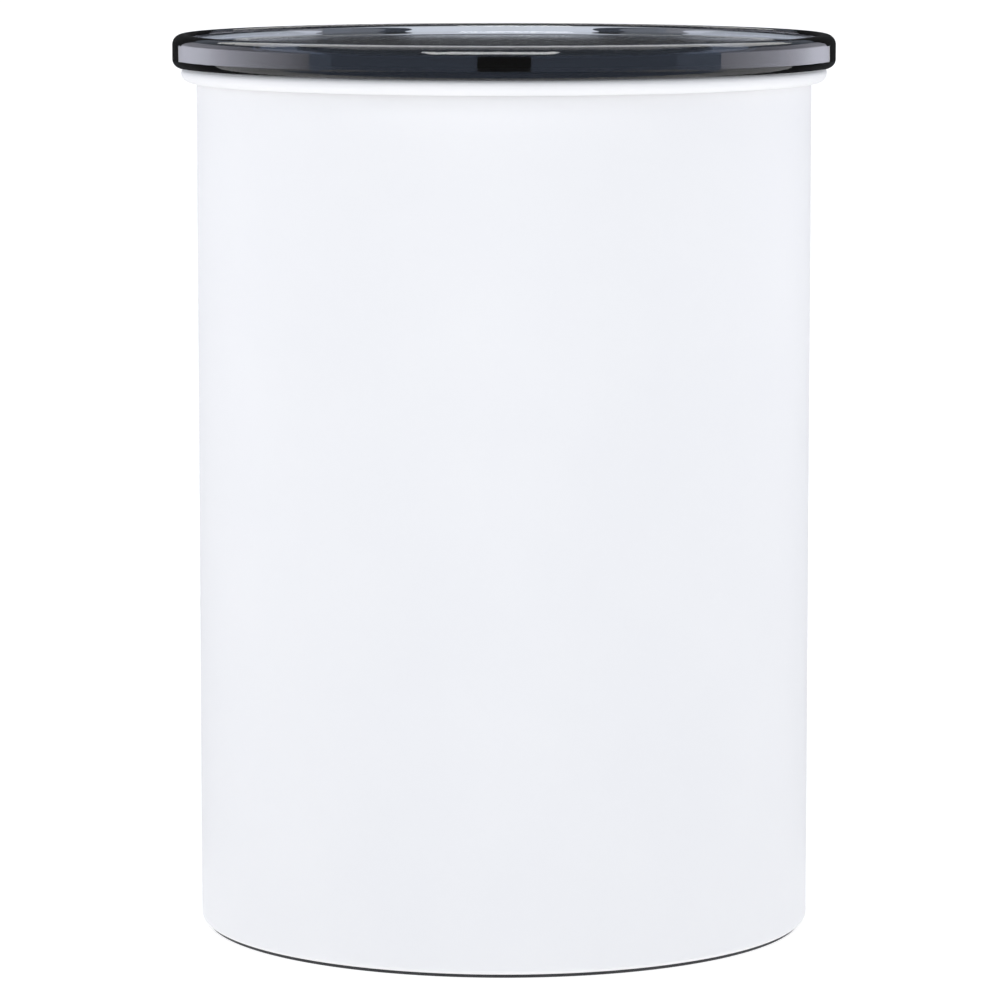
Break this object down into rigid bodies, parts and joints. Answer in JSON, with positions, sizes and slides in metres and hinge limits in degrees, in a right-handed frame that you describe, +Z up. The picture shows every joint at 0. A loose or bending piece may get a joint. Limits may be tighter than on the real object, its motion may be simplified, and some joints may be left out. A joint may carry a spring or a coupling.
{
  "type": "coffee canister",
  "caption": "Straight steel coffee canister with a rolled rim, a smoke lift-off lid, and a sliding inner lid whose folding handle works an air valve.",
  "frame": {"origin": "middle of the face that the canister stands on", "axes": "+Z up along the can's axis, +X along the handle's pivot axis, -Y towards the viewer of the picture"},
  "size_m": [0.1316, 0.1316, 0.178],
  "materials": {
    "powder_coat": "satin white powder coat on steel, bare brushed steel inside",
    "pad_rubber": "matt dark rubber",
    "smoke_plastic": "glossy smoke-tinted clear plastic",
    "silicone": "soft grey silicone",
    "black_plastic": "fine-textured black plastic",
    "steel": "stainless steel",
    "valve_plastic": "grey moulded plastic",
    "handle_plastic": "satin black plastic"
  },
  "bodies": {
    "can": {"can_shell": "powder_coat", "base_pad": "pad_rubber"},
    "outer_lid": {"outer_lid": "smoke_plastic", "lid_seal_ring": "silicone"},
    "inner_lid": {"plunger_dish": "black_plastic", "base_plate": "black_plastic", "wiper_gasket": "silicone", "plate_screws": "steel", "inlet_screen": "steel", "valve_cap": "valve_plastic", "valve_spring": "steel", "pivot_pins": "steel"},
    "handle": {"handle": "handle_plastic"},
    "valve": {"valve_stem": "valve_plastic", "valve_seal": "silicone"}
  },
  "joints": [
    {"name": "outer_lid_lift", "type": "slide", "parent": "can", "child": "outer_lid", "axis": [0, 0, 1], "range_m": [0, 0.08]},
    {"name": "inner_lid_slide", "type": "slide", "parent": "can", "child": "inner_lid", "axis": [0, 0, 1], "range_m": [-0.11, 0.002]},
    {"name": "handle_swing", "type": "hinge", "parent": "inner_lid", "child": "handle", "pos_m": [0, 0, 0.14], "axis": [1, 0, 0], "range_deg": [0, 180]},
    {"name": "valve_lift", "type": "slide", "parent": "inner_lid", "child": "valve", "axis": [0, 0, 1], "range_m": [0, 0.0025], "deforming": ["valve_spring"]}
  ],
  "couplings": [
    {"joint": "valve_lift", "follows": "handle_swing", "m_per_rad": 0.000795}
  ]
}
